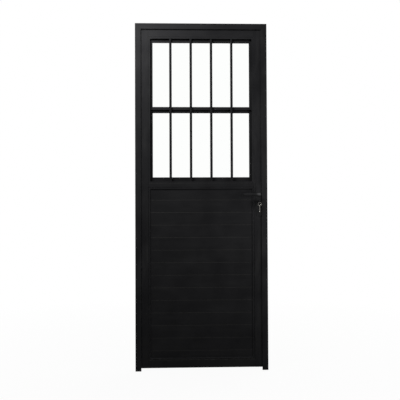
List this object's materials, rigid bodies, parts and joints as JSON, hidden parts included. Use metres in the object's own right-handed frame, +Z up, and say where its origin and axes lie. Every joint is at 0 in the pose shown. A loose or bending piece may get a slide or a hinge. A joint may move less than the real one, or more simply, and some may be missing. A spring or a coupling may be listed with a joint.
{
  "type": "aluminium front door",
  "caption": "Black aluminium front door in its frame: slatted lower panel, barred window with a sliding sash above, lever handles on long plates and a key in the lock.",
  "frame": {"origin": "on the floor, midway between the jambs, on the middle plane of the leaf", "axes": "+X towards the lock side, +Y into the house, +Z up"},
  "size_m": [0.8, 0.1284, 2.1],
  "materials": {
    "black_coat": "satin black powder coat on extruded aluminium",
    "rubber": "matt black",
    "glass": "clear float glass",
    "steel": "zinc plated",
    "mill_aluminium": "mill finish",
    "nickel": "bright nickel plate",
    "black_plate": "black plated lock cylinder",
    "nylon": "black nylon"
  },
  "bodies": {
    "frame": {"hinge_jamb": "black_coat", "lock_jamb": "black_coat", "frame_head": "black_coat", "corner_cleats": "mill_aluminium", "frame_seal": "rubber", "strike_plate": "steel", "frame_screws": "steel", "frame_hinge_plates": "black_coat", "hinge_pins": "steel"},
    "leaf": {"hinge_stile": "black_coat", "lock_stile": "black_coat", "top_rail": "black_coat", "lock_rail": "black_coat", "bottom_rail": "black_coat", "slat_01": "black_coat", "slat_02": "black_coat", "slat_03": "black_coat", "slat_04": "black_coat", "slat_05": "black_coat", "slat_06": "black_coat", "slat_07": "black_coat", "slat_08": "black_coat", "slat_09": "black_coat", "slat_10": "black_coat", "slat_11": "black_coat", "slat_12": "black_coat", "slat_13": "black_coat", "slat_14": "black_coat", "panel_beads": "black_coat", "window_tracks": "black_coat", "window_head": "black_coat", "window_sill": "black_coat", "grille_bars": "black_coat", "upper_sash_stiles": "black_coat", "upper_sash_rails": "black_coat", "upper_glass": "glass", "upper_gasket": "rubber", "door_hinge_plates": "black_coat", "leaf_screws": "steel", "lock_case": "steel", "outer_plate": "black_coat", "inner_plate": "black_coat", "cylinder_body": "black_plate", "catch_keepers": "steel"},
    "lower_sash": {"lower_sash_stiles": "black_coat", "lower_sash_rails": "black_coat", "lower_glass": "glass", "lower_seals": "rubber", "sash_lift": "black_coat", "catch_guides": "nylon"},
    "left_catch": {"sash_catch_left": "nylon"},
    "right_catch": {"sash_catch_right": "nylon"},
    "lever": {"outer_lever": "black_coat", "inner_lever": "black_coat", "spindle": "steel", "lock_follower": "steel"},
    "latch": {"latch_bolt": "steel"},
    "key": {"key": "nickel", "cylinder_plug": "black_plate"},
    "bolt": {"dead_bolt": "steel"}
  },
  "joints": [
    {"name": "leaf_swing", "type": "hinge", "parent": "frame", "child": "leaf", "pos_m": [-0.37575, 0.02775, 1.05], "axis": [0, 0, 1], "range_deg": [0, 105]},
    {"name": "lower_sash_slide", "type": "slide", "parent": "leaf", "child": "lower_sash", "axis": [0, 0, 1], "range_m": [0, 0.372]},
    {"name": "left_catch_slide", "type": "slide", "parent": "lower_sash", "child": "left_catch", "axis": [1, 0, 0], "range_m": [0, 0.01], "stiffness_N_per_m": 150, "springref_m": -0.004},
    {"name": "right_catch_slide", "type": "slide", "parent": "lower_sash", "child": "right_catch", "axis": [-1, 0, 0], "range_m": [0, 0.01], "stiffness_N_per_m": 150, "springref_m": -0.004},
    {"name": "lever_turn", "type": "hinge", "parent": "leaf", "child": "lever", "pos_m": [0.348, 0, 1.059], "axis": [0, -1, 0], "range_deg": [0, 45], "stiffness_Nm_per_rad": 0.7, "springref_deg": -22.92},
    {"name": "latch_slide", "type": "slide", "parent": "leaf", "child": "latch", "axis": [-1, 0, 0], "range_m": [0, 0.011]},
    {"name": "key_turn", "type": "hinge", "parent": "leaf", "child": "key", "pos_m": [0.348, 0, 1.013], "axis": [0, -1, 0], "range_deg": [0, 360]},
    {"name": "bolt_slide", "type": "slide", "parent": "leaf", "child": "bolt", "axis": [1, 0, 0], "range_m": [0, 0.018]}
  ],
  "couplings": [
    {"joint": "latch_slide", "follows": "lever_turn", "m_per_rad": 0.014},
    {"joint": "key_turn", "follows": "bolt_slide", "rad_per_m": 349}
  ]
}
